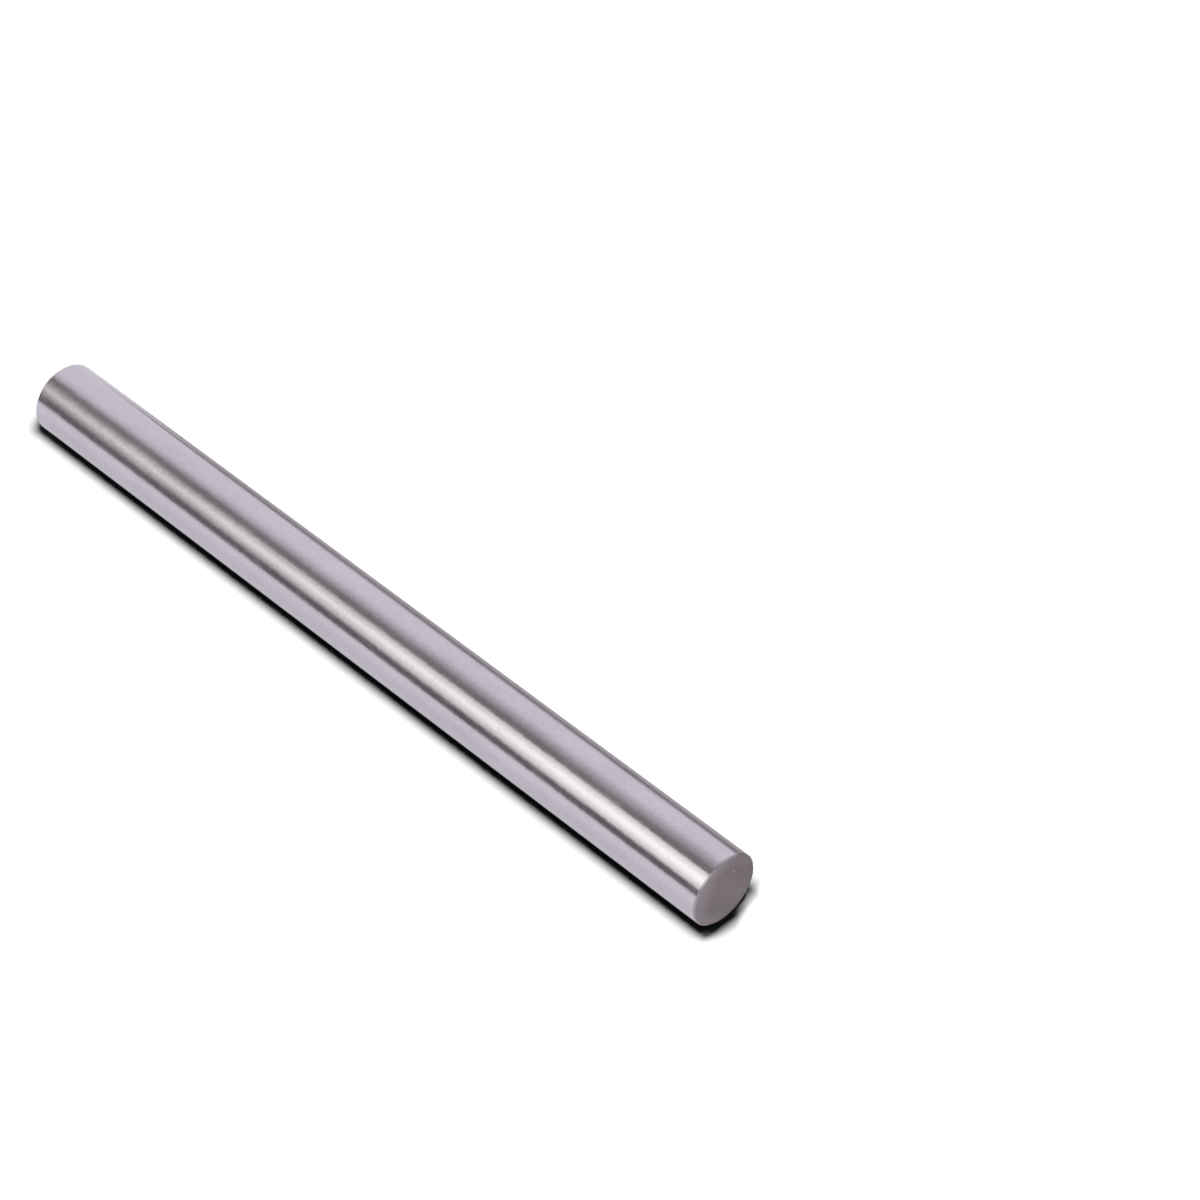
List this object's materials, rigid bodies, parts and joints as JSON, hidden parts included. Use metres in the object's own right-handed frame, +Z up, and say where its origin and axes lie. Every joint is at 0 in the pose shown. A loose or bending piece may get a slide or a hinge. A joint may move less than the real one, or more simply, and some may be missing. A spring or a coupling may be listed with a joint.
{
  "type": "round bar",
  "caption": "Straight solid round metal bar with a bright ground side and flat cut ends, stock for shafts, pins, rollers and machining.",
  "frame": {"origin": "on the floor, straight under the middle of the bar, which lies on its side", "axes": "+X along the bar's centre line, +Z up, +Y across the bar"},
  "size_m": [0.25, 0.02, 0.02],
  "materials": {
    "ground_steel": "bright, centreless ground, with fine marks running round the bar; ends cut square, matt, rim lightly chamfered"
  },
  "bodies": {
    "root": {"round_bar": "ground_steel"}
  },
  "joints": []
}
